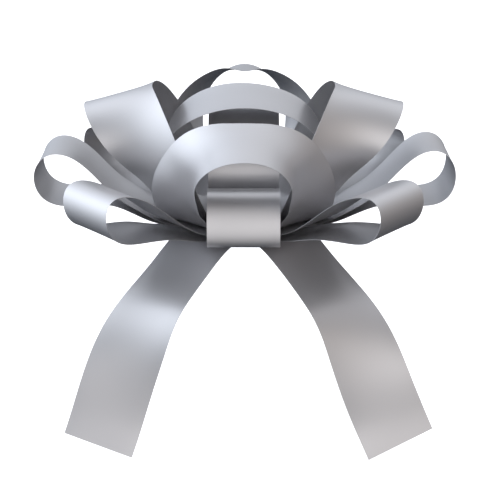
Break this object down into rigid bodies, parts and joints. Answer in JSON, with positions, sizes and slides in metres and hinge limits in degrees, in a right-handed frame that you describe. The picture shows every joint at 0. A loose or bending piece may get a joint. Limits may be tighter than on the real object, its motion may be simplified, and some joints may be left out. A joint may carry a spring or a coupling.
{
  "type": "assembled ribbon gift bow",
  "caption": "Large round gift bow of flat ribbon loops and two hanging tails, riveted over a magnetic backing plate with a felt face.",
  "frame": {"origin": "centre of the felt face that lies on the car or parcel", "axes": "+Z is the bow's axis, out of the plate towards the crown; -Y is the front, where the tails hang; +X is the bow's right as seen from the front"},
  "size_m": [0.5996, 0.46, 0.4916],
  "materials": {
    "ribbon": "satin metallic silver vinyl",
    "felt": "short pressed felt",
    "magnet": "matt flexible magnet",
    "plate": "moulded white polypropylene",
    "clear_plastic": "moulded natural nylon",
    "cap_plastic": "silver moulded cap"
  },
  "bodies": {
    "bow": {"felt_pad": "felt", "magnet_disc": "magnet", "backing_plate": "plate", "rivet": "clear_plastic", "lower_washer": "clear_plastic", "upper_washer": "clear_plastic", "rivet_cap": "cap_plastic", "front_loop": "ribbon", "petal_front_left": "ribbon", "petal_front_right": "ribbon", "petal_back_left": "ribbon", "petal_back_right": "ribbon", "petal_left": "ribbon", "petal_right": "ribbon", "arch_front": "ribbon", "arch_back": "ribbon", "arch_left": "ribbon", "arch_right": "ribbon"},
    "left_tail": {"tail_left": "ribbon"},
    "right_tail": {"tail_right": "ribbon"},
    "cross_ring": {"ring_cross": "ribbon"},
    "inner_ring": {"ring_depth": "ribbon"}
  },
  "joints": [
    {"name": "left_tail_turn", "type": "hinge", "parent": "bow", "child": "left_tail", "pos_m": [0, 0, 0.007], "axis": [0, 0, 1], "range_deg": [-20, 5]},
    {"name": "right_tail_turn", "type": "hinge", "parent": "bow", "child": "right_tail", "pos_m": [0, 0, 0.0078], "axis": [0, 0, 1], "range_deg": [-5, 20]},
    {"name": "cross_ring_turn", "type": "hinge", "parent": "bow", "child": "cross_ring", "pos_m": [0, 0, 0.025], "axis": [0, 0, 1], "range_deg": [-6, 6]},
    {"name": "inner_ring_turn", "type": "hinge", "parent": "bow", "child": "inner_ring", "pos_m": [0, 0, 0.028], "axis": [0, 0, 1], "range_deg": [-6, 6]}
  ]
}
